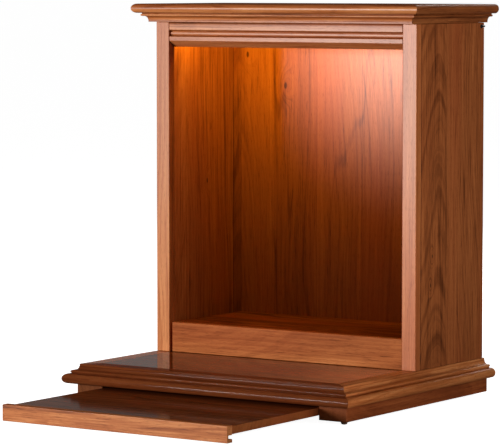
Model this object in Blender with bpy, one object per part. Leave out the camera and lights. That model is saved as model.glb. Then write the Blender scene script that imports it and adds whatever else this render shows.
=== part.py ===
"""Household altar cabinet with a cornice, an open case, a loose step, a moulded base and a pull-out tray.

Metres, +Z up, the front facing -Y. The origin is on the floor, under the middle of the box that holds
the whole cabinet with its tray pulled out. Inside the script, pieces are placed from the case's own
datum: X from the middle, Y back from the front of the case, and Z up from the top of the base.
"""

import math

import bmesh
import bpy

MM = 0.001
GAP = 0.3 * MM  # left between two pieces that touch

# The case
CASE_HALF = 195 * MM
CASE_HEIGHT = 426.3 * MM
CASE_BACK = 166 * MM
SIDE_THICKNESS = 10 * MM
STILE_WIDTH = 20 * MM
STILE_THICKNESS = 12 * MM
BACK_PANEL_FACE = 160 * MM
BACK_PANEL_THICKNESS = 5 * MM
RAIL_HEIGHT = 31.7 * MM
RAIL_THICKNESS = 12 * MM

# The cornice: its lip stands over the case, and its moulding projects from the lip.
CORNICE_HEIGHT = 23.3 * MM
CORNICE_LIP_SIDE = 2.2 * MM
CORNICE_LIP_FRONT = 14.5 * MM
CORNICE_REBATE = 6.2 * MM
TOP_THICKNESS = 12 * MM

# The base and its plinth
BACK_LINE = 170.5 * MM  # the back of the cornice, the base and the plinth
BASE_HALF = 195.5 * MM  # to the edge of the flat top, without its moulding
BASE_FRONT = -166 * MM
BASE_THICKNESS = 24.3 * MM
BASE_MOULDING_INSIDE = 20 * MM
PLINTH_HALF = 199.5 * MM
PLINTH_FRONT = -165.4 * MM
PLINTH_RAIL_WIDTH = 39.1 * MM
PLINTH_BOTTOM = -42.8 * MM
PLINTH_BACK_THICKNESS = 18 * MM
FRONT_GLIDE_INSET = 9 * MM
BACK_GLIDE_INSET_SIDE = 30 * MM
BACK_GLIDE_INSET = 20 * MM
GLIDE_RADIUS = 4 * MM
GLIDE_FLAT_RADIUS = 1.6 * MM
GLIDE_HEIGHT = 3.8 * MM

# The loose step inside the case, pushed over to the right stile, with a little play at its left
STEP_LEFT = -172 * MM
STEP_RIGHT = CASE_HALF - STILE_WIDTH - GAP
STEP_FRONT = 1.5 * MM
STEP_BACK = 159 * MM
STEP_HEIGHT = 38.5 * MM
STEP_THICKNESS = 12 * MM

# The tray, in its pulled-out place
TRAY_FRONT = -362 * MM
TRAY_FRONT_HALF = 163.1 * MM
TRAY_FRONT_THICKNESS = 10.2 * MM
TRAY_FRONT_TOP = -26.2 * MM
TRAY_FRONT_BOTTOM = -46.2 * MM
TRAY_BOARD_HALF = 159.8 * MM
TRAY_BOARD_TOP = -28 * MM
TRAY_BOARD_THICKNESS = 9.5 * MM
TRAY_BOARD_LENGTH = 305.5 * MM
PULL_WALL = 2.7 * MM
PULL_FLANGE = 4.2 * MM
RUNNER_WIDTH = 12 * MM
RUNNER_FRONT = -145 * MM

# The cable outlet in the right side's back edge: a round bush with a tongue to the back
OUTLET_RADIUS = 2.3 * MM
OUTLET_TONGUE_HALF = 0.9 * MM
OUTLET_HEIGHT = 421.5 * MM
OUTLET_FROM_BACK = 7.4 * MM
OUTLET_PROUD = 0.9 * MM
OUTLET_BORE_RADIUS = 1.1 * MM

ARRIS = 0.6 * MM  # how far the boards' edges are eased
FLUSH_ARRIS = 0.15 * MM  # the same, where a board lies flush with a moulding
WALNUT = (0.23, 0.078, 0.028)
PALE_WALNUT = (0.42, 0.165, 0.066)
BLACK_PLASTIC = (0.012, 0.011, 0.011)
GLIDE_PLASTIC = (0.09, 0.045, 0.025)


def clear_scene():
    for thing in list(bpy.data.objects):
        bpy.data.objects.remove(thing, do_unlink=True)


def principled(name, colour, roughness):
    material = bpy.data.materials.new(name)
    material.use_nodes = True
    shader = material.node_tree.nodes["Principled BSDF"]
    shader.inputs["Base Color"].default_value = (*colour, 1.0)
    shader.inputs["Roughness"].default_value = roughness
    return material


def add_object(name, shape, place, parent, colour, roughness=0.35):
    """Makes one object from a bmesh, with its own material, at a place measured from its parent."""
    bmesh.ops.recalc_face_normals(shape, faces=shape.faces)
    mesh = bpy.data.meshes.new(name)
    shape.to_mesh(mesh)
    shape.free()
    mesh.shade_smooth()
    mesh.set_sharp_from_angle(angle=math.radians(28))
    piece = bpy.data.objects.new(name, mesh)
    piece.location = place
    piece.parent = parent
    piece.data.materials.append(principled(name, colour, roughness))
    bpy.context.collection.objects.link(piece)
    return piece


def ease_edges(piece, width):
    bevel = piece.modifiers.new("eased edges", "BEVEL")
    bevel.width = width
    bevel.segments = 2
    bevel.limit_method = "ANGLE"
    bevel.angle_limit = math.radians(40)


def board(name, x, y, z, parent, colour, arris=ARRIS):
    """A flat board between three pairs of limits, its origin in its middle."""
    middle = [(low + high) / 2 for low, high in (x, y, z)]
    size = [high - low for low, high in (x, y, z)]
    shape = bmesh.new()
    bmesh.ops.create_cube(shape, size=1.0)
    bmesh.ops.scale(shape, vec=size, verts=shape.verts)
    piece = add_object(name, shape, middle, parent, colour)
    ease_edges(piece, arris)
    return piece


def run_of_section(name, section, start, end, parent, colour, place=(0, 0, 0)):
    """A length of one section: start and end turn each of its points into the point of that end."""
    shape = bmesh.new()
    first = [shape.verts.new(start(*point)) for point in section]
    last = [shape.verts.new(end(*point)) for point in section]
    for i in range(len(section)):
        following = (i + 1) % len(section)
        shape.faces.new((first[i], first[following], last[following], last[i]))
    shape.faces.new(first)
    shape.faces.new(list(reversed(last)))
    return add_object(name, shape, place, parent, colour)


def arc(middle, across, height, start, end, steps):
    """Points along part of an ellipse, as (out, up) pairs. Angles are in degrees and 0 points out."""
    points = []
    for step in range(steps + 1):
        angle = math.radians(start + (end - start) * step / steps)
        points.append((middle[0] + across * math.cos(angle), middle[1] + height * math.sin(angle)))
    return points


def in_millimetres(points):
    return [(out * MM, up * MM) for out, up in points]


def cornice_section(inside):
    """Up from the underside: lip fillet, cove, bead, quirk and half-round nose. A rebate holds the top."""
    face = [(0, 0), (0, 2.3)]
    face += arc((4.4, 2.7), 4.0, 4.7, 180, 95, 8)
    face += arc((5.7, 8.8), 1.8, 1.4, -125, 65, 8)
    face += [(6.1, 10.4), (6.1, 11.4)]
    face += arc((10.4, 17.35), 6.0, 5.95, -90, 90, 16)
    rebate_floor = CORNICE_HEIGHT - TOP_THICKNESS - GAP
    back = [
        (-CORNICE_REBATE, CORNICE_HEIGHT),
        (-CORNICE_REBATE, rebate_floor),
        (-inside, rebate_floor),
        (-inside, 0),
    ]
    return in_millimetres(face) + back


def base_section():
    """Down from the top: fillet, cove, bead, quirk and half-round nose."""
    face = [(0, 0), (0, -2.8)]
    face += arc((5.0, -3.1), 4.5, 4.5, 180, 265, 8)
    face += arc((6.3, -9.4), 2.1, 1.8, 125, -60, 8)
    face += [(6.9, -11.2), (6.9, -11.9)]
    face += arc((10.1, -18.1), 6.3, 6.2, 90, -90, 16)
    back = [(-BASE_MOULDING_INSIDE, -BASE_THICKNESS), (-BASE_MOULDING_INSIDE, 0)]
    return in_millimetres(face) + back


def mitred_frame(name, half, front, bottom, front_section, side_section, parent):
    """Three mouldings round the front and sides, mitred at the front corners and cut square at the back."""
    run_of_section(
        name + "_front",
        front_section,
        lambda out, up: (-half - out, front - out, bottom + up),
        lambda out, up: (half + out, front - out, bottom + up),
        parent,
        PALE_WALNUT,
    )
    mitre_gap = GAP * math.sqrt(2)
    for side, sign in (("left", -1), ("right", 1)):
        run_of_section(
            name + "_" + side,
            side_section,
            lambda out, up: (sign * (half + out), front - out + mitre_gap, bottom + up),
            lambda out, up: (sign * (half + out), BACK_LINE, bottom + up),
            parent,
            WALNUT,
        )


def build_base(cabinet):
    inner_half = BASE_HALF - BASE_MOULDING_INSIDE - GAP
    inner_front = BASE_FRONT + BASE_MOULDING_INSIDE + GAP
    board("base_board", (-inner_half, inner_half), (inner_front, BACK_LINE), (-BASE_THICKNESS, 0),
          cabinet, WALNUT, FLUSH_ARRIS)
    mitred_frame("base_moulding", BASE_HALF, BASE_FRONT, 0, base_section(), base_section(), cabinet)

    plinth_top = -BASE_THICKNESS - GAP
    height = (PLINTH_BOTTOM, plinth_top)
    rail_inner = PLINTH_HALF - PLINTH_RAIL_WIDTH
    plinth_back_front = BACK_LINE - PLINTH_BACK_THICKNESS
    runner_top = TRAY_BOARD_TOP - TRAY_BOARD_THICKNESS - GAP
    for side, sign in (("left", -1), ("right", 1)):
        rail = sorted((sign * rail_inner, sign * PLINTH_HALF))
        board("plinth_rail_" + side, rail, (PLINTH_FRONT, BACK_LINE), height, cabinet, WALNUT)
        runner = sorted((sign * (rail_inner - GAP), sign * (rail_inner - GAP - RUNNER_WIDTH)))
        board("tray_runner_" + side, runner, (RUNNER_FRONT, plinth_back_front - GAP),
              (PLINTH_BOTTOM, runner_top), cabinet, WALNUT)
    board("plinth_rail_back", (GAP - rail_inner, rail_inner - GAP), (plinth_back_front, BACK_LINE),
          height, cabinet, WALNUT)
    build_glides(cabinet)


def build_glides(cabinet):
    """Four small domed glides with a flat tip under the plinth, the back pair set further in."""
    profile = [(GLIDE_RADIUS, PLINTH_BOTTOM - GAP), (GLIDE_RADIUS, PLINTH_BOTTOM - 0.4 * GLIDE_HEIGHT)]
    tip = PLINTH_BOTTOM - GLIDE_HEIGHT
    for step in range(1, 5):
        angle = math.radians(90) * step / 4
        reach = GLIDE_FLAT_RADIUS + (GLIDE_RADIUS - GLIDE_FLAT_RADIUS) * math.cos(angle)
        profile.append((reach, profile[1][1] + (tip - profile[1][1]) * math.sin(angle)))
    ends = (
        ("front", PLINTH_HALF - FRONT_GLIDE_INSET, PLINTH_FRONT + FRONT_GLIDE_INSET),
        ("back", PLINTH_HALF - BACK_GLIDE_INSET_SIDE, BACK_LINE - BACK_GLIDE_INSET),
    )
    for end, x, y in ends:
        for side, sign in (("left", -1), ("right", 1)):
            name = "glide_" + end + "_" + side
            add_object(name, turned(profile), (sign * x, y, 0), cabinet, GLIDE_PLASTIC, 0.4)


def turned(profile, sides=24):
    """A closed turned shape about Z from (radius, height) pairs, top to bottom, with flat ends."""
    shape = bmesh.new()
    rings = []
    for radius, height in profile:
        ring = []
        for side in range(sides):
            angle = math.tau * side / sides
            ring.append(shape.verts.new((radius * math.cos(angle), radius * math.sin(angle), height)))
        rings.append(ring)
    for upper, lower in zip(rings, rings[1:]):
        for side in range(sides):
            following = (side + 1) % sides
            shape.faces.new((upper[side], upper[following], lower[following], lower[side]))
    shape.faces.new(rings[0])
    shape.faces.new(rings[-1])
    return shape


def build_case(cabinet):
    floor_to_cornice = (GAP, CASE_HEIGHT - GAP)
    inner_half = CASE_HALF - SIDE_THICKNESS
    for side, sign in (("left", -1), ("right", 1)):
        stile = sorted((sign * CASE_HALF, sign * (CASE_HALF - STILE_WIDTH)))
        board("stile_" + side, stile, (0, STILE_THICKNESS), floor_to_cornice, cabinet, PALE_WALNUT)
        panel = sorted((sign * CASE_HALF, sign * inner_half))
        depth = (STILE_THICKNESS + GAP, CASE_BACK)
        made = board("side_panel_" + side, panel, depth, floor_to_cornice, cabinet, WALNUT)
        if side == "right":
            fit_cable_outlet(made, inner_half, cabinet)
    under_top = CASE_HEIGHT + CORNICE_HEIGHT - TOP_THICKNESS - GAP
    board("back_panel", (GAP - inner_half, inner_half - GAP),
          (BACK_PANEL_FACE, BACK_PANEL_FACE + BACK_PANEL_THICKNESS), (GAP, under_top), cabinet, WALNUT)
    build_top_rail(cabinet)


def build_top_rail(cabinet):
    """The rail between the stiles: a flat, a round-edged bead between two sloped grooves, a second flat
    and a wide chamfer."""
    groove = 5.2
    bead = 3.7
    face = [(0, 0), (0, -9.9), (groove, -12.0), (groove, -12.7)]
    face += [(bead - across, up) for across, up in arc((0, -13.5), 0.8, 0.8, 90, 0, 4)]
    face += [(bead - across, up) for across, up in arc((0, -15.5), 0.8, 0.8, 0, -90, 4)]
    face += [(groove, -16.3), (groove, -16.9), (0.3, -18.7), (0.3, -24.0), (10.7, -RAIL_HEIGHT / MM)]
    face += [(RAIL_THICKNESS / MM, -RAIL_HEIGHT / MM), (RAIL_THICKNESS / MM, 0)]
    half = CASE_HALF - STILE_WIDTH - GAP
    top = CASE_HEIGHT - GAP
    run_of_section(
        "top_rail",
        in_millimetres(face),
        lambda back, up: (-half, back, up),
        lambda back, up: (half, back, up),
        cabinet,
        PALE_WALNUT,
        place=(0, 0, top),
    )


def build_cornice(cabinet):
    half = CASE_HALF + CORNICE_LIP_SIDE
    side_inside = CORNICE_LIP_SIDE + SIDE_THICKNESS
    front_inside = CORNICE_LIP_FRONT + STILE_THICKNESS
    mitred_frame("cornice", half, -CORNICE_LIP_FRONT, CASE_HEIGHT, cornice_section(front_inside),
                 cornice_section(side_inside), cabinet)
    top_half = half - CORNICE_REBATE - GAP
    top = CASE_HEIGHT + CORNICE_HEIGHT
    board("top_board", (-top_half, top_half), (CORNICE_REBATE + GAP - CORNICE_LIP_FRONT, BACK_LINE),
          (top - TOP_THICKNESS, top), cabinet, WALNUT, FLUSH_ARRIS)


def build_step(cabinet):
    """A loose box without a bottom: riser, two ends, and a top flush with the riser."""
    width = (STEP_LEFT, STEP_RIGHT)
    board("step_riser", width, (STEP_FRONT, STEP_FRONT + STEP_THICKNESS), (GAP, STEP_HEIGHT), cabinet,
          PALE_WALNUT)
    depth = (STEP_FRONT + STEP_THICKNESS + GAP, STEP_BACK)
    board("step_top", width, depth, (STEP_HEIGHT - STEP_THICKNESS, STEP_HEIGHT), cabinet, WALNUT)
    ends = (("left", (STEP_LEFT, STEP_LEFT + STEP_THICKNESS)),
            ("right", (STEP_RIGHT - STEP_THICKNESS, STEP_RIGHT)))
    for side, end in ends:
        board("step_end_" + side, end, depth, (GAP, STEP_HEIGHT - STEP_THICKNESS - GAP), cabinet, WALNUT)


def build_tray(tray):
    """A thin board behind a taller front, whose lower back is cut out as a finger pull."""
    full = TRAY_FRONT_THICKNESS
    pull_top = TRAY_BOARD_TOP - TRAY_BOARD_THICKNESS
    pull_bottom = TRAY_FRONT_BOTTOM + PULL_FLANGE
    section = [
        (0, TRAY_FRONT_TOP),
        (0, TRAY_FRONT_BOTTOM),
        (full, TRAY_FRONT_BOTTOM),
        (full, pull_bottom),
        (PULL_WALL, pull_bottom),
        (PULL_WALL, pull_top),
        (full, pull_top),
        (full, TRAY_FRONT_TOP),
    ]
    strip = run_of_section(
        "tray_front",
        section,
        lambda back, up: (-TRAY_FRONT_HALF, back, up),
        lambda back, up: (TRAY_FRONT_HALF, back, up),
        tray,
        PALE_WALNUT,
    )
    ease_edges(strip, ARRIS)
    behind = full + GAP
    board("tray_board", (-TRAY_BOARD_HALF, TRAY_BOARD_HALF), (behind, behind + TRAY_BOARD_LENGTH),
          (TRAY_BOARD_TOP - TRAY_BOARD_THICKNESS, TRAY_BOARD_TOP), tray, WALNUT)


def keyhole_bar(radius, tongue_half, length, x):
    """A keyhole outline between two X limits: a round head about the origin, its tongue along +Y."""
    mouth = math.degrees(math.asin(tongue_half / radius))
    outline = arc((0, 0), radius, radius, mouth, 360 - mouth, 20)
    outline += [(length, -tongue_half), (length, tongue_half)]
    shape = bmesh.new()
    near = [shape.verts.new((x[0], along, up)) for along, up in outline]
    far = [shape.verts.new((x[1], along, up)) for along, up in outline]
    for i in range(len(outline)):
        following = (i + 1) % len(outline)
        shape.faces.new((near[i], near[following], far[following], far[i]))
    shape.faces.new(near)
    shape.faces.new(list(reversed(far)))
    return shape


def subtract(piece, cutter):
    cutter.hide_render = True
    cutter.display_type = "WIRE"
    cut = piece.modifiers.new("cut", "BOOLEAN")
    cut.operation = "DIFFERENCE"
    cut.object = cutter


def fit_cable_outlet(panel, inner_face, cabinet):
    """A black bush in a keyhole slot at the back of the panel, a little proud outside and behind."""
    place = (inner_face, CASE_BACK - OUTLET_FROM_BACK, OUTLET_HEIGHT)
    past = 5 * MM
    slot_shape = keyhole_bar(OUTLET_RADIUS + GAP, OUTLET_TONGUE_HALF + GAP, OUTLET_FROM_BACK + past,
                             (-past, SIDE_THICKNESS + past))
    slot = add_object("outlet_slot", slot_shape, place, cabinet, BLACK_PLASTIC)
    subtract(panel, slot)
    bush_shape = keyhole_bar(OUTLET_RADIUS, OUTLET_TONGUE_HALF, OUTLET_FROM_BACK + OUTLET_PROUD,
                             (0, SIDE_THICKNESS + OUTLET_PROUD))
    bush = add_object("cable_outlet", bush_shape, place, cabinet, BLACK_PLASTIC, 0.5)
    bore_ends = (2 * SIDE_THICKNESS, -SIDE_THICKNESS)
    bore_shape = turned([(OUTLET_BORE_RADIUS, end) for end in bore_ends])
    bore = add_object("outlet_bore", bore_shape, place, cabinet, BLACK_PLASTIC)
    bore.rotation_euler = (0, math.radians(90), 0)
    subtract(bush, bore)


def add_datum(name, place):
    datum = bpy.data.objects.new(name, None)
    datum.location = place
    bpy.context.collection.objects.link(datum)
    return datum


def main():
    clear_scene()
    floor = PLINTH_BOTTOM - GLIDE_HEIGHT
    middle = (TRAY_FRONT + BACK_LINE) / 2
    cabinet = add_datum("cabinet", (0, -middle, -floor))
    tray = add_datum("tray", (0, TRAY_FRONT - middle, -floor))
    build_base(cabinet)
    build_case(cabinet)
    build_cornice(cabinet)
    build_step(cabinet)
    build_tray(tray)


main()
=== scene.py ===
"""A household altar cabinet in stained and lacquered hardwood, with a cornice, a moulded base and a tray.

Metres, +Z up, the front facing -Y; only the sections of mouldings are in mm. The script follows the order
in which the cabinet is put together.
"""
import math

import bmesh
import bpy
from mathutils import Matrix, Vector


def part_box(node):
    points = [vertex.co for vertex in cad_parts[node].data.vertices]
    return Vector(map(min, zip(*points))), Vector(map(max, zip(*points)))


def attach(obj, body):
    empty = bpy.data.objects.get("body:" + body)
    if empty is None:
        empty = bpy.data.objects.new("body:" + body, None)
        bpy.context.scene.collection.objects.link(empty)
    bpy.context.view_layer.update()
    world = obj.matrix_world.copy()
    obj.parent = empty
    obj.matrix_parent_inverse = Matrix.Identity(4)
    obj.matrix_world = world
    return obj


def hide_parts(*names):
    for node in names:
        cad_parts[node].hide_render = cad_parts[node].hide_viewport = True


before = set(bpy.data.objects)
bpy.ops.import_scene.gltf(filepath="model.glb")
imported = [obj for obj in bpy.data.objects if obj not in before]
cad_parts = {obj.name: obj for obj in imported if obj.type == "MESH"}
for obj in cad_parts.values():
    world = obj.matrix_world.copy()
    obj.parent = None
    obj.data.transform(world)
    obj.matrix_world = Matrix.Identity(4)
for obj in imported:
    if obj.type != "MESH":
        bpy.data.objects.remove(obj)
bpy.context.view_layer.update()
scene = bpy.context.scene


# The base board: the broad platform under the case, flush with the moulding round it. It is hardwood with
# its grain across the cabinet, glued up from three planks, stained a reddish brown and sprayed with clear
# lacquer. Every board and moulding of the cabinet has this finish, so it is worked out here.
class Socket:
    """An output of a material's node. Adding, multiplying and so on adds the Math nodes for it."""

    def __init__(self, tree, output):
        self.tree = tree
        self.output = output

    def node(self, kind, settings, inputs, output=0):
        """Any node. Its settings come first, and then each input is given a value or linked."""
        made = self.tree.nodes.new("ShaderNode" + kind)
        for name, setting in settings.items():
            if name == "stops":
                ramp = made.color_ramp.elements
                while len(ramp) < len(setting):
                    ramp.new(0.5)
                for element, (position, colour) in zip(ramp, setting):
                    element.position = position
                    element.color = (*colour, 1.0)
            else:
                setattr(made, name, setting)
        for name, given in inputs.items():
            if isinstance(given, Socket):
                self.tree.links.new(given.output, made.inputs[name])
            else:
                made.inputs[name].default_value = given
        return Socket(self.tree, made.outputs[output])

    def math(self, operation, *others):
        return self.node("Math", {"operation": operation}, dict(enumerate((self, *others))))

    def __add__(self, other):
        return self.math("ADD", other)

    def __sub__(self, other):
        return self.math("SUBTRACT", other)

    def __rsub__(self, other):
        return self.node("Math", {"operation": "SUBTRACT"}, {0: other, 1: self})

    def __mul__(self, other):
        return self.math("MULTIPLY", other)

    def __abs__(self):
        return self.math("ABSOLUTE")

    __radd__ = __add__
    __rmul__ = __mul__

    def part(self, axis):
        """The X, Y or Z of a vector."""
        return self.node("SeparateXYZ", {}, {"Vector": self}, output=axis)

    def between(self, low, high):
        """0 at low and 1 at high, turning smoothly. low may be the larger of the two."""
        settings = {"interpolation_type": "SMOOTHSTEP", "clamp": True}
        return self.node("MapRange", settings, {"Value": self, "From Min": low, "From Max": high})

    def blend(self, first, second):
        """The first colour where this is 0 and the second where it is 1."""
        settings = {"data_type": "RGBA", "clamp_factor": True}
        return self.node("Mix", settings, {0: self, 6: first, 7: second}, output=2)

    def feed(self, shader, name):
        self.tree.links.new(self.output, shader.inputs[name])


def new_finish(name, **values):
    """A material, its shader with the values that are the same all over it, and the place of each point."""
    material = bpy.data.materials.new(name)
    material.use_nodes = True
    shader = material.node_tree.nodes["Principled BSDF"]
    for socket, value in values.items():
        shader.inputs[socket.replace("_", " ")].default_value = value
    coordinates = material.node_tree.nodes.new("ShaderNodeTexCoord")
    return material, shader, Socket(material.node_tree, coordinates.outputs["Object"])


def drawn_out(parts, along, across, seed, detail=1.0, roughness=0.5):
    """Noise drawn out along the grain: so many waves a metre along it and so many across it."""
    grain, wide, thick = parts
    shifted = {"X": grain * along + seed, "Y": wide * across + seed, "Z": thick * across}
    spot = grain.node("CombineXYZ", {}, shifted)
    return grain.node("TexNoise", {},
                      {"Vector": spot, "Scale": 1.0, "Detail": detail, "Roughness": roughness})


def by_plank(wide, joints, values):
    """A value for each glued plank, which changes at each joint across the board."""
    total = values[0]
    for joint, before, after in zip(joints, values, values[1:]):
        total = total + wide.math("GREATER_THAN", joint) * (after - before)
    return total


WOOD_TONES = (
    (0.00, (0.035, 0.0075, 0.0020)),
    (0.30, (0.160, 0.0400, 0.0100)),
    (0.55, (0.340, 0.0950, 0.0260)),
    (0.80, (0.500, 0.1580, 0.0460)),
    (1.00, (0.660, 0.2500, 0.0850)),
)
PORE_BROWN = (0.030, 0.0075, 0.0025, 1.0)
RED_BROWN = (0.380, 0.0820, 0.0240, 1.0)
RINGS_A_METRE = 210.0
NEXT_PLANK = 0.31  # how far the growth rings jump from a plank to the one glued beside it
GLUE_LINE = 0.0008


def lacquered_wood(name, axes, seed, heart=0.0, depth=0.035, tip=0.05, joints=(), planks=(0.0,), knots=(),
                   level=0.0, contrast=1.0, straight=1.0, painted_shade_and_stain=(), gloss=0.38, flat_gloss=0.07,
                   blur=0.30):
    """Stained and lacquered wood, solid all through.

    axes names the directions along the grain, across the board and through it. The growth rings lie about
    a line at heart across the board and depth behind it, tipped by tip along the grain, which draws the
    arches. joints are the glued joints across the board, and planks the tone of each plank between them.
    knots are (along, across, radius). level makes the whole piece paler, contrast is how strongly its
    figure shows, and straight how strongly the fine straight lines do. painted_shade_and_stain are the
    (axis, position, reach, depth) of bands that are darker and carry less lacquer: painted shade in hollows,
    corners and under overhangs, and a dark line at a joint. gloss is how much lacquer lies on the wood,
    flat_gloss how much of it on faces that look up, and blur how dull it has dried.
    """
    material, shader, place = new_finish(name, Specular_IOR_Level=0.0, Coat_Roughness=blur, Coat_IOR=1.46)
    normal = place.node("TexCoord", {}, {}, output="Normal")
    parts = [place.part(axis) for axis in axes]
    grain, wide, thick = parts

    # The growth rings, by the distance from the heart of the tree, which bulge round a knot.
    wander = drawn_out(parts, 3.0, 11.0, seed) - 0.5
    ripple = drawn_out(parts, 26.0, 75.0, seed + 5.0) - 0.5
    hearts = [NEXT_PLANK * number - heart for number in range(len(planks))]
    across = wide + by_plank(wide, joints, hearts) + wander * 0.050
    behind = thick + grain * tip + depth + wander * 0.030
    radius = (across * across + behind * behind).math("SQRT") + ripple * 0.0022
    cores = 0.0
    for knot_along, knot_across, size in knots:
        off_along = (grain - knot_along) * 0.5
        off_across = wide - knot_across
        reach = (off_along * off_along + off_across * off_across).math("SQRT")
        radius = radius + reach.between(size * 6, 0.0) * (size * 7)
        cores = cores + reach.between(size, size * 0.45)
    rings = place.node("TexNoise", {"noise_dimensions": "1D"},
                       {"W": radius + seed, "Scale": RINGS_A_METRE, "Detail": 3.0, "Roughness": 0.62})

    # The straight lines, from broad bands down to single pores, and a few dark veins that wander.
    fibres = drawn_out(parts, 11.0, 620.0, seed + 1.0, 3.0, 0.65)
    streaks = drawn_out(parts, 8.0, 210.0, seed + 8.0, 2.0, 0.6)
    bands = drawn_out(parts, 1.1, 30.0, seed + 2.0)
    pores = drawn_out(parts, 110.0, 2600.0, seed + 3.0).between(0.60, 0.74)
    dashes = drawn_out(parts, 40.0, 760.0, seed + 9.0, 2.0).between(0.58, 0.68)
    vein_line = abs(drawn_out(parts, 1.7, 34.0, seed + 4.0) - 0.5)
    veins = vein_line.between(0.018, 0.002) * drawn_out(parts, 5.0, 24.0, seed + 6.0).between(0.48, 0.62)

    # The tone, from 0 for the darkest wood to 1 for the palest. End grain is plainer than the rest.
    end_grain = abs(normal.part(axes[0])).between(0.6, 0.9)
    tone = (fibres - 0.5) * 0.50 + (streaks - 0.5) * 0.70 + (bands - 0.5) * 0.45
    tone = tone * straight + (rings - 0.5) * 0.75 - rings.between(0.56, 0.72) * 0.10
    tone = (tone - veins * 0.20 - dashes * 0.20) * (contrast - end_grain * 0.6)
    tone = tone + by_plank(wide, joints, planks) + (0.60 + level) + end_grain * 0.15
    for joint in joints:
        tone = tone - abs(wide - joint).between(GLUE_LINE, GLUE_LINE / 4) * 0.14
    # Painted shade: each band of painted_shade_and_stain darkens the tone, and thins the lacquer further
    # down.
    shade_and_stain_mask = 0.0
    for axis, position, reach, deep in painted_shade_and_stain:
        shade_and_stain_mask = shade_and_stain_mask + abs(place.part(axis) - position).between(reach, reach * 0.2) * deep
    tone = tone - shade_and_stain_mask
    colour = tone.node("ValToRGB", {"stops": WOOD_TONES}, {"Fac": tone})
    redder = drawn_out(parts, 2.0, 19.0, seed + 7.0).between(0.42, 0.70)
    colour = (redder * 0.45).blend(colour, RED_BROWN)
    colour = (pores * 0.50 + cores * 0.80).blend(colour, PORE_BROWN)
    colour.feed(shader, "Base Color")

    # The lacquer, which is thinner over pores and over the bands of painted shade and stain, and the relief
    # of the grain under it.
    upward = normal.part("Z").between(0.90, 0.99)
    lacquer = gloss + upward * (flat_gloss - gloss)
    (lacquer * (1.0 - shade_and_stain_mask * 2.0 - pores * 0.4)).feed(shader, "Coat Weight")
    (0.5 + fibres * 0.2).feed(shader, "Roughness")
    relief = fibres * 0.5 - pores * 0.8 - veins * 0.4
    bump = place.node("Bump", {}, {"Strength": 0.10, "Distance": 0.0005, "Height": relief})
    bump.feed(shader, "Normal")
    return material


def finish_node(node, material):
    """Gives one of the frame's own solids its real finish."""
    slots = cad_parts[node].data.materials
    slots.clear()
    slots.append(material)


# Other pieces go by the front of the case, the top of the base board and the line of the back.
case_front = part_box("stile_left")[0].y
base_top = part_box("base_board")[1].z
back_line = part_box("base_board")[1].y
# The platform's low level is partly its own tone and partly painted shade of offerings standing on it.
finish_node("base_board", lacquered_wood("platform wood", "XYZ", 3.1, heart=0.02, tip=0.03, level=-0.24,
                                         joints=(-0.045, 0.085), planks=(0.0, -0.01, 0.02),
                                         flat_gloss=0.6, blur=0.10))


# The base moulding: a run of one section round the front and the sides of the base board, mitred at the
# front corners and glued on. Down from the top it has a fillet, a cove, a bead, a quirk and a bold
# half-round nose. The arrises are rubbed down, and painted shade darkens it under the fillet, at the foot
# of the cove and in the quirk.
MM = 0.001
MITRE_GAP = 0.3 * MM * math.sqrt(2)  # along the side, which leaves 0.3 mm across the mitre
MOULDING_ARRIS = 0.25 * MM
SHARP = math.radians(35)  # the least turn between two faces that makes an arris
NOSE_REACH = 16.4 * MM  # from the fillet to the front of the nose, on the base and on the cornice


def arc(middle, across, height, start, end, steps):
    """Points on part of an ellipse, as (out, up). Angles are in degrees, and 0 points outwards."""
    points = []
    for step in range(steps + 1):
        angle = math.radians(start + (end - start) * step / steps)
        points.append((middle[0] + across * math.cos(angle), middle[1] + height * math.sin(angle)))
    return points


def skin(shape, near, far):
    """Faces from each point of one ring to its partner on another."""
    for point in range(len(near)):
        following = (point + 1) % len(near)
        shape.faces.new((near[point], near[following], far[following], far[point]))


def run_of_section(section, start, end):
    """A length of one section: start and end turn each of its points, in mm, into a point of that end."""
    shape = bmesh.new()
    first = [shape.verts.new(start(out * MM, up * MM)) for out, up in section]
    last = [shape.verts.new(end(out * MM, up * MM)) for out, up in section]
    skin(shape, first, last)
    shape.faces.new(first)
    shape.faces.new(list(reversed(last)))
    return shape


def rub_down(piece, width):
    """Rounds every arris of a piece by so much."""
    rounding = piece.modifiers.new("rubbed arrises", "BEVEL")
    rounding.width = width
    rounding.segments = 3
    rounding.limit_method = "ANGLE"
    rounding.angle_limit = SHARP
    rounding.harden_normals = True


def stand_in(node, shape, finish, rounding=None, body="cabinet"):
    """Puts a finely made piece in the place of the frame's plain solid."""
    bmesh.ops.recalc_face_normals(shape, faces=shape.faces)
    mesh = bpy.data.meshes.new("dressed_" + node)
    shape.to_mesh(mesh)
    shape.free()
    mesh.shade_smooth()
    mesh.materials.append(finish)
    piece = bpy.data.objects.new("dressed_" + node, mesh)
    scene.collection.objects.link(piece)
    if rounding is None:
        mesh.set_sharp_from_angle(angle=SHARP)
    else:
        rub_down(piece, rounding)
    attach(piece, body)
    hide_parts(node)


def mitred_runs(name, half, front, height, front_section, side_section, finishes):
    """Three mouldings round the front and the sides, mitred at the front corners, square at the back.

    half and front are where the sections' out is 0, at the sides and at the front, and height where up is 0.
    """
    shape = run_of_section(front_section,
                           lambda out, up: (-half - out, front - out, height + up),
                           lambda out, up: (half + out, front - out, height + up))
    stand_in(name + "_front", shape, finishes["front"], MOULDING_ARRIS)
    for side, sign in (("left", -1), ("right", 1)):
        shape = run_of_section(side_section,
                               lambda out, up: (sign * (half + out), front - out + MITRE_GAP, height + up),
                               lambda out, up: (sign * (half + out), back_line, height + up))
        stand_in(name + "_" + side, shape, finishes[side], MOULDING_ARRIS)


def painted_shade_bands(height, *rows):
    """Level bands of painted shade, each as (mm above height, reach in mm, depth of the shade)."""
    return [("Z", height + up * MM, reach * MM, deep) for up, reach, deep in rows]


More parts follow.
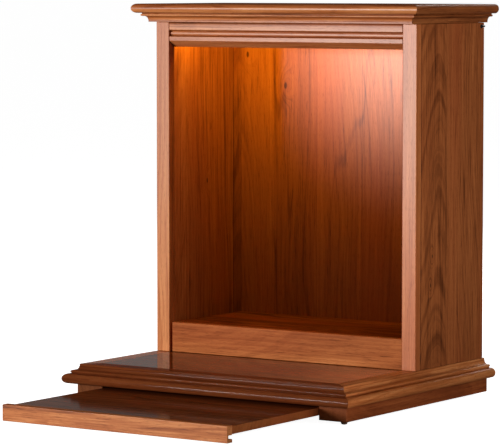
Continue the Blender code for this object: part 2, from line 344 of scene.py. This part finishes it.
base_section = [(0, 0), (0, -2.8)]
base_section += arc((5.0, -3.1), 4.5, 4.5, 180, 265, 16)
base_section += arc((6.3, -9.4), 2.1, 1.8, 125, -60, 16)
base_section += [(6.9, -11.2), (6.9, -11.9)]
base_section += arc((10.1, -18.1), 6.3, 6.2, 90, -90, 32)
base_section += [(-20, -24.3), (-20, 0)]
moulding_low, moulding_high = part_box("base_moulding_front")
base_painted_shade = painted_shade_bands(base_top, (-3.0, 0.8, 0.14), (-6.9, 1.0, 0.12), (-11.6, 0.8, 0.16))
mitred_runs("base_moulding", moulding_high.x - NOSE_REACH, moulding_low.y + NOSE_REACH, base_top,
            base_section, base_section, {
                # The front run is toned darker than the sides, as painted shade of offerings standing on the
                # base.
                "front": lacquered_wood("front base moulding wood", "XZY", 11.7, heart=0.03, depth=0.06,
                                        tip=0.02, level=-0.15, painted_shade_and_stain=base_painted_shade, gloss=0.14,
                                        flat_gloss=0.10, blur=0.08),
                "left": lacquered_wood("left base moulding wood", "YZX", 14.2, heart=0.03, depth=0.25,
                                       tip=0.02, level=0.12, painted_shade_and_stain=base_painted_shade, flat_gloss=0.6,
                                       blur=0.12),
                "right": lacquered_wood("right base moulding wood", "YZX", 17.9, heart=0.03, depth=-0.15,
                                        tip=0.02, level=0.25, contrast=0.8, straight=1.3,
                                        painted_shade_and_stain=base_painted_shade, gloss=0.10, flat_gloss=0.12, blur=0.16)})


# The plinth: two broad rails on edge under the sides and a narrow one across the back, glued and screwed
# up into the base board. The front is left open for the tray, which two runners inside carry. All of it
# is of the same stained wood.
for side, seed, depth in (("left", 21.0, 0.2733), ("right", 24.5, 0.3122)):
    finish_node("plinth_rail_" + side, lacquered_wood(side + " plinth wood", "YZX", seed, depth=depth,
                                                      tip=0.08, level=-0.17, gloss=0.24))
    finish_node("tray_runner_" + side, lacquered_wood(side + " runner wood", "YZX", seed + 1.0, level=-0.08))
finish_node("plinth_rail_back", lacquered_wood("back plinth wood", "XZY", 27.3, level=-0.08))


# The glides: four small domes of brown plastic on nails, tapped into the plinth. They have a flat tip.
GLIDE_FLAT = 1.6 * MM
GLIDE_RIM = 1.3 * MM
GLIDE_ARRIS = 0.2 * MM
TURNED_SIDES = 40


def turned(profile):
    """A closed turned shape about Z from (radius, height) pairs, top to bottom, with flat ends."""
    shape = bmesh.new()
    rings = []
    for radius, height in profile:
        ring = []
        for side in range(TURNED_SIDES):
            angle = math.tau * side / TURNED_SIDES
            ring.append(shape.verts.new((radius * math.cos(angle), radius * math.sin(angle), height)))
        rings.append(ring)
    for upper, lower in zip(rings, rings[1:]):
        skin(shape, upper, lower)
    shape.faces.new(rings[0])
    shape.faces.new(rings[-1])
    return shape


glide_finish, shader, place = new_finish("glide plastic", Coat_Weight=0.0)
mottle = place.node("TexNoise", {}, {"Vector": place, "Scale": 900.0, "Detail": 3.0})
mottle.blend((0.13, 0.055, 0.026, 1.0), (0.26, 0.12, 0.06, 1.0)).feed(shader, "Base Color")
(0.35 + mottle * 0.25).feed(shader, "Roughness")
place.node("Bump", {}, {"Strength": 0.15, "Distance": 0.0002, "Height": mottle}).feed(shader, "Normal")
for end in ("front", "back"):
    for side in ("left", "right"):
        node = "glide_%s_%s" % (end, side)
        low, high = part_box(node)
        radius = (high.x - low.x) / 2
        shoulder = high.z - GLIDE_RIM
        profile = [(radius - GLIDE_ARRIS, high.z), (radius, high.z - GLIDE_ARRIS)]
        profile += arc((GLIDE_FLAT, shoulder), radius - GLIDE_FLAT, shoulder - low.z, 0, -90, 8)
        shape = turned(profile)
        bmesh.ops.translate(shape, verts=shape.verts, vec=((low.x + high.x) / 2, (low.y + high.y) / 2, 0))
        stand_in(node, shape, glide_finish)


# The tray: a thin board that slides out on the runners, with its grain across the cabinet, behind a taller
# front strip. The strip is grooved behind as a finger pull, and its arrises are well rounded.
def straight_run(node, section, height):
    """A section carried from end to end of a node, as (back from its front, up from height) in mm."""
    low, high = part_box(node)
    return run_of_section(section,
                          lambda back, up: (low.x, low.y + back, height + up),
                          lambda back, up: (high.x, low.y + back, height + up))


# The tray board is toned dark partly as painted shade of dishes standing on it.
finish_node("tray_board", lacquered_wood("tray board wood", "XYZ", 31.4, heart=-0.12, tip=0.04, level=-0.20,
                                         joints=(-0.09,), planks=(0.0, -0.04), flat_gloss=0.35,
                                         blur=0.10))
PULL_WALL = 2.7  # mm of wood in front of the finger pull
PULL_FLANGE = 4.2  # mm of wood under it
front_low, front_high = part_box("tray_front")
strip_back = (front_high.y - front_low.y) / MM
strip_top = (front_high.z - front_low.z) / MM
board_bottom = (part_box("tray_board")[0].z - front_low.z) / MM
strip_section = [(0, strip_top), (0, 0), (strip_back, 0), (strip_back, PULL_FLANGE),
                 (PULL_WALL, PULL_FLANGE), (PULL_WALL, board_bottom), (strip_back, board_bottom),
                 (strip_back, strip_top)]
stand_in("tray_front", straight_run("tray_front", strip_section, front_low.z),
         lacquered_wood("tray front wood", "XZY", 34.8, heart=0.012, depth=-0.06, tip=0.05, level=0.20,
                        contrast=1.2, joints=(front_low.z + 7 * MM,), planks=(0.06, -0.02)),
         0.8 * MM, body="tray")


# The sides of the case: two boards standing on the base, glued up from planks, with their grain upright.
# The right one has a lighter plank behind a dark glued joint, and small tight knots low down.
finish_node("side_panel_left", lacquered_wood(
    "left side wood", "ZYX", 41.0, heart=0.17, depth=0.26, tip=0.10, level=-0.03, contrast=0.8,
    joints=(case_front + 0.0525, case_front + 0.092, case_front + 0.124), planks=(0.06, 0.0, 0.04, 0.02),
    # Painted shade darkens the left side towards its back corner.
    painted_shade_and_stain=(("Y", back_line - 5 * MM, 3.5 * MM, 0.16),),
    knots=((0.263, case_front + 0.100, 0.0022),)))
finish_node("side_panel_right", lacquered_wood(
    "right side wood", "ZYX", 44.0, heart=0.150, depth=-0.14, tip=0.14, level=-0.07, straight=0.7,
    joints=(case_front + 0.072,), planks=(0.01, 0.03),
    painted_shade_and_stain=(("Y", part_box("side_panel_right")[0].y, 1.0 * MM, 0.38),),
    knots=((0.186, case_front + 0.040, 0.0016), (0.150, case_front + 0.036, 0.0016))))


# The back panel: thin boards edge to edge, stained and lacquered as the rest, between the two sides. Painted
# shade darkens its left corner.
finish_node("back_panel", lacquered_wood(
    "back panel wood", "ZXY", 51.0, heart=-0.12, depth=0.06, tip=0.10, straight=0.65, contrast=0.68,
    joints=(-0.1715, -0.118, -0.052, 0.018, 0.085, 0.140),
    planks=(-0.15, -0.04, -0.10, -0.04, -0.06, -0.06, -0.07),
    painted_shade_and_stain=(("X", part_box("back_panel")[0].x, 2.4 * MM, 0.20),),
    knots=((0.428, -0.161, 0.0026), (0.388, -0.101, 0.0030)), gloss=0.78, blur=0.36))


# The stiles: a narrow upright on the front edge of each side, planed flush and rubbed round, so that a fine
# V shows where it meets the side. They are of pale wood, with painted shade along the inner arris and face.
def board_shape(node):
    """A plain board of its node's own size, to be rubbed round."""
    low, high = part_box(node)
    shape = bmesh.new()
    bmesh.ops.create_cube(shape, size=1.0)
    bmesh.ops.scale(shape, vec=high - low, verts=shape.verts)
    bmesh.ops.translate(shape, vec=(low + high) / 2, verts=shape.verts)
    return shape


for side, seed, level, gloss, blur in (("left", 61.0, 0.33, 0.36, 0.25),
                                       ("right", 64.3, 0.15, 0.38, 0.30)):
    low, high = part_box("stile_" + side)
    inner = high.x if side == "left" else low.x
    stile_wood = lacquered_wood(side + " stile wood", "ZXY", seed, heart=0.30, depth=0.05, tip=0.02,
                                level=level, contrast=0.8, painted_shade_and_stain=(("X", inner, 1.3 * MM, 0.40),),
                                gloss=gloss, blur=blur)
    stand_in("stile_" + side, board_shape("stile_" + side), stile_wood, 0.6 * MM)


# The top rail: it is let in between the stiles, and worked with a flat, a bead between two grooves, a
# second flat, and a wide chamfer below that lets the light fall on the back panel.
GROOVE = 5.2  # mm behind the rail's face, at the bottom of both grooves
BEAD = 3.7  # mm behind it, where the bead starts to round
BEAD_ROUND = 0.8
rail_section = [(0, 0), (0, -9.9), (GROOVE, -12.0), (GROOVE, -12.7)]
rail_section += [(BEAD - out, up) for out, up in arc((0, -13.5), BEAD_ROUND, BEAD_ROUND, 90, 0, 8)]
rail_section += [(BEAD - out, up) for out, up in arc((0, -15.5), BEAD_ROUND, BEAD_ROUND, 0, -90, 8)]
rail_section += [(GROOVE, -16.3), (GROOVE, -16.9), (0.3, -18.7), (0.3, -24.0)]
rail_section += [(10.7, -31.7), (12, -31.7), (12, 0)]
rail_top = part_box("top_rail")[1].z
# Painted shade: darker and less glossy under the cornice's lip and in the two grooves.
rail_painted_shade = painted_shade_bands(rail_top, (0, 4.2, 0.34), (0, 10.0, 0.16), (-11.8, 1.4, 0.20), (-17.3, 1.4, 0.20))
stand_in("top_rail", straight_run("top_rail", rail_section, rail_top),
         lacquered_wood("top rail wood", "XZY", 71.2, heart=0.43, depth=0.05, tip=0.04, level=0.31,
                        painted_shade_and_stain=rail_painted_shade), 0.3 * MM)


# The step: a loose box without a bottom on the floor of the case, on which the figure stands. It has a
# riser, two ends and a top, glued together, with the riser's arrises rubbed round.
stand_in("step_riser", board_shape("step_riser"),
         lacquered_wood("step riser wood", "XZY", 81.5, heart=0.10, depth=0.05, tip=0.05, level=0.04,
                        gloss=0.05), 0.8 * MM)
# The step's top is toned dark as painted shade, low in the case.
finish_node("step_top", lacquered_wood("step top wood", "XYZ", 84.1, heart=0.10, tip=0.05, level=-0.24,
                                       flat_gloss=0.10))
for side, seed in (("left", 86.0), ("right", 88.0)):
    finish_node("step_end_" + side, lacquered_wood("step %s end wood" % side, "YZX", seed, level=-0.10))


# The cornice: three mouldings mitred round a top board that lies in their rebate. Up from the underside
# they have a lip, a cove, a bead, a quirk and a half-round nose. The top board is flush with them.
finish_node("top_board", lacquered_wood("top board wood", "XYZ", 91.0, heart=0.10, tip=0.03,
                                        joints=(0.13, 0.20), planks=(0.0, 0.03, -0.02)))
REBATE = 6.2  # mm from the fillet's face in to the top board
REBATE_FLOOR = 11.0  # mm above the underside
CORNICE_HEIGHT = 23.3


def cornice_section(inside):
    """The cornice in mm, reaching so far inwards on its underside."""
    section = [(0, 0), (0, 2.3)]
    section += arc((4.4, 2.7), 4.0, 4.7, 180, 95, 16)
    section += arc((5.7, 8.8), 1.8, 1.4, -125, 65, 16)
    section += [(6.1, 10.4), (6.1, 11.4)]
    section += arc((10.4, 17.35), 6.0, 5.95, -90, 90, 32)
    section += [(-REBATE, CORNICE_HEIGHT), (-REBATE, REBATE_FLOOR), (-inside, REBATE_FLOOR), (-inside, 0)]
    return section


cornice_low, cornice_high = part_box("cornice_front")
# Painted shade: on the front, darker and less glossy along the lip, in the cove, in the quirk and over the
# top of the nose, which faces up away from the light; on the sides in the cove and the quirk.
front_cornice_painted_shade = painted_shade_bands(cornice_low.z, (1.4, 2.4, 0.24), (4.6, 2.4, 0.12), (6.6, 1.8, 0.30),
                        (10.9, 1.5, 0.42), (CORNICE_HEIGHT, 6.0, 0.34))
side_cornice_painted_shade = painted_shade_bands(cornice_low.z, (6.9, 1.6, 0.06), (10.9, 1.0, 0.10))
mitred_runs("cornice", cornice_high.x - NOSE_REACH, cornice_low.y + NOSE_REACH, cornice_low.z,
            cornice_section(26.5), cornice_section(12.2), {
                "front": lacquered_wood("front cornice wood", "XZY", 94.4, heart=0.49, depth=0.05, tip=0.02,
                                        level=0.36, painted_shade_and_stain=front_cornice_painted_shade, gloss=0.50),
                "left": lacquered_wood("left cornice wood", "YZX", 96.1, heart=0.49, depth=0.25, tip=0.02,
                                       painted_shade_and_stain=side_cornice_painted_shade),
                "right": lacquered_wood("right cornice wood", "YZX", 98.6, heart=0.49, depth=-0.15, tip=0.02,
                                        level=0.03, painted_shade_and_stain=side_cornice_painted_shade, gloss=0.28, flat_gloss=0.04)})


# The cable outlet: a soft black bush pressed into a keyhole slot at the top of the right side's back edge,
# where a lamp's lead can pass. It is moulded in one piece with a bore through it.
OUTLET_RADIUS = 2.3 * MM
OUTLET_BORE = 1.1 * MM
OUTLET_TONGUE = 0.9 * MM
OUTLET_STEPS = 64
outlet_low, outlet_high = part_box("cable_outlet")
middle_y = outlet_low.y + OUTLET_RADIUS
middle_z = (outlet_low.z + outlet_high.z) / 2
outline = []
for along, up in arc((0, 0), OUTLET_RADIUS, OUTLET_RADIUS, 0, 360, OUTLET_STEPS)[:-1]:
    if along > 0 and abs(up) < OUTLET_TONGUE:
        along = outlet_high.y - middle_y
    outline.append((along, up))
bore = arc((0, 0), OUTLET_BORE, OUTLET_BORE, 0, 360, OUTLET_STEPS)[:-1]
shape = bmesh.new()
loops = []
for x, ring in ((outlet_low.x, outline), (outlet_high.x, outline),
                (outlet_high.x, bore), (outlet_low.x, bore)):
    loops.append([shape.verts.new((x, middle_y + along, middle_z + up)) for along, up in ring])
for near, far in zip(loops, loops[1:] + loops[:1]):
    skin(shape, near, far)
outlet_finish, shader, place = new_finish("outlet rubber", Coat_Weight=0.0)
dust = place.node("TexNoise", {}, {"Vector": place, "Scale": 700.0, "Detail": 3.0})
dust.blend((0.006, 0.0055, 0.005, 1.0), (0.022, 0.020, 0.018, 1.0)).feed(shader, "Base Color")
(0.38 + dust * 0.3).feed(shader, "Roughness")
place.node("Bump", {}, {"Strength": 0.2, "Distance": 0.0001, "Height": dust}).feed(shader, "Normal")
stand_in("cable_outlet", shape, outlet_finish, 0.2 * MM)


# The studio: a plain white floor, seen without end, which catches only a faint shadow. It throws nothing
# back on the cabinet, and the white beyond it lights the cabinet only a little.
FLOOR_SIZE = 300
floor_shape = bmesh.new()
bmesh.ops.create_grid(floor_shape, x_segments=1, y_segments=1, size=FLOOR_SIZE)
floor_mesh = bpy.data.meshes.new("floor")
floor_shape.to_mesh(floor_mesh)
floor_shape.free()
floor = bpy.data.objects.new("floor", floor_mesh)
scene.collection.objects.link(floor)
floor_mesh.materials.append(new_finish("floor white", Base_Color=(0.8, 0.8, 0.8, 1), Roughness=0.9,
                                       Emission_Color=(1, 1, 1, 1), Emission_Strength=0.96)[0])
floor.visible_diffuse = False
floor.visible_glossy = False
world = bpy.data.worlds.new("studio")
scene.world = world
world.use_nodes = True
light_path = world.node_tree.nodes.new("ShaderNodeLightPath")
seen = Socket(world.node_tree, light_path.outputs["Is Camera Ray"])
seen.blend((0.04, 0.04, 0.04, 1), (1, 1, 1, 1)).feed(world.node_tree.nodes["Background"], "Color")
scene.view_settings.view_transform = "Standard"


# The lights: a small softbox in front, to the left and level with the rail; a broad weak one to the right;
# a warm lamp that hangs out of sight behind the rail; and one behind, for the back. The pale table and a
# pale backdrop at the left each throw a little light of their own.
def add_light(kind, name, place, target, watts, colour, **settings):
    """A light at a place, turned to its target."""
    data = bpy.data.lights.new(name, kind)
    data.energy = watts
    data.color = colour
    for setting, value in settings.items():
        setattr(data, setting, value)
    light = bpy.data.objects.new(name, data)
    light.location = place
    light.rotation_euler = (Vector(target) - Vector(place)).to_track_quat("-Z", "Y").to_euler()
    scene.collection.objects.link(light)
    return light


def link_light(light, pieces, state):
    """Makes a light fall on these pieces only, or on all but them."""
    receivers = bpy.data.collections.new(light.name + " receivers")
    for piece in pieces:
        receivers.objects.link(bpy.data.objects.get("dressed_" + piece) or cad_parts[piece])
    for receiver in receivers.collection_objects:
        receiver.light_linking.link_state = state
    light.light_linking.receiver_collection = receivers


KEY_AZIMUTH = math.radians(29.5)
KEY_DISTANCE = 3.0
KEY_TARGET = (0, case_front, 0.40)
KEY_COLOUR = (1.0, 0.985, 0.96)
LAMP_COLOUR = (1.0, 0.63, 0.045)
TABLE_COLOUR = (1.0, 0.97, 0.94)
INNER_PIECES = ["back_panel", "side_panel_right", "step_top"]
SHADED_PIECES = ["base_board", "tray_board", "base_moulding_front", "plinth_rail_left", "plinth_rail_right"]
TABLE_SIDE_PIECES = ["base_moulding_right", "plinth_rail_right", "side_panel_right", "stile_right",
                     "tray_board", "tray_front"]


def from_key(distance, height):
    """A place on the softbox's side, so far from the case and so high."""
    return Vector((-distance * math.sin(KEY_AZIMUTH), case_front - distance * math.cos(KEY_AZIMUTH), height))


# The softbox falls as it does on a cabinet in use. Offerings shade the base and the tray, so these have a
# weaker one, and a spot where it gets past them at the right. The figure shades the inside, so there it is
# a spot that reaches only the top of the back.
key = add_light("AREA", "key", from_key(KEY_DISTANCE, 0.44), KEY_TARGET, 90, KEY_COLOUR,
                shape="RECTANGLE", size=0.55, size_y=0.75)
link_light(key, INNER_PIECES + SHADED_PIECES, "EXCLUDE")
low_key = add_light("AREA", "low key", from_key(KEY_DISTANCE, 0.46), KEY_TARGET, 34, KEY_COLOUR,
                    shape="RECTANGLE", size=0.55, size_y=0.65)
link_light(low_key, SHADED_PIECES, "INCLUDE")
corner = add_light("SPOT", "corner", from_key(1.2, 1.0), (0.27, 0.05, base_top), 130, KEY_COLOUR,
                   spot_size=math.radians(11.5), spot_blend=1.0, shadow_soft_size=0.05)
link_light(corner, ["base_board"], "INCLUDE")
pool = add_light("SPOT", "pool", from_key(1.0, 0.46), (0.09, case_front + 0.16, 0.462), 55, KEY_COLOUR,
                 spot_size=math.radians(19), spot_blend=1.0, shadow_soft_size=0.09)
link_light(pool, INNER_PIECES, "INCLUDE")

add_light("AREA", "fill", (2.6, 0.1, 0.35), (0.1, 0.1, 0.25), 30, (1.0, 0.97, 0.92), shape="SQUARE", size=1.6)
lamp = add_light("AREA", "lamp", (-0.03, case_front + 0.030, 0.468), (-0.03, case_front + 0.15, 0.40), 0.74,
                 LAMP_COLOUR, shape="RECTANGLE", size=0.32, size_y=0.02)
lamp.visible_glossy = False
add_light("AREA", "rear", (-0.4, 2.4, 1.0), (0, back_line, 0.3), 30, TABLE_COLOUR, shape="SQUARE", size=1.0)

table = add_light("AREA", "table", (0.62, -0.45, 0.003), (0.62, -0.45, 1.0), 4.8, TABLE_COLOUR,
                  shape="RECTANGLE", size=0.7, size_y=0.8)
table.visible_camera = False
link_light(table, TABLE_SIDE_PIECES, "INCLUDE")
backdrop = add_light("AREA", "backdrop", (-1.7, 1.6, 0.6), (-1.7, 0, 0.6), 5, (1, 0.95, 0.9),
                     shape="RECTANGLE", size=3.0, size_y=1.8)
backdrop.visible_camera = False
backdrop.visible_diffuse = False


# The camera: a long lens, far off in front and to the right, a little above the top and tipped down.
CAMERA_TURN = math.radians(33.95)
CAMERA_TILT = math.radians(4.49)
camera_data = bpy.data.cameras.new("camera")
camera_data.lens = 219.9
camera_data.sensor_width = 36
camera_data.clip_end = 500
camera = bpy.data.objects.new("camera", camera_data)
camera.location = (2.1063, -3.1066, 0.5229)
camera.rotation_euler = (math.radians(90) - CAMERA_TILT, 0, CAMERA_TURN)
scene.collection.objects.link(camera)
scene.camera = camera
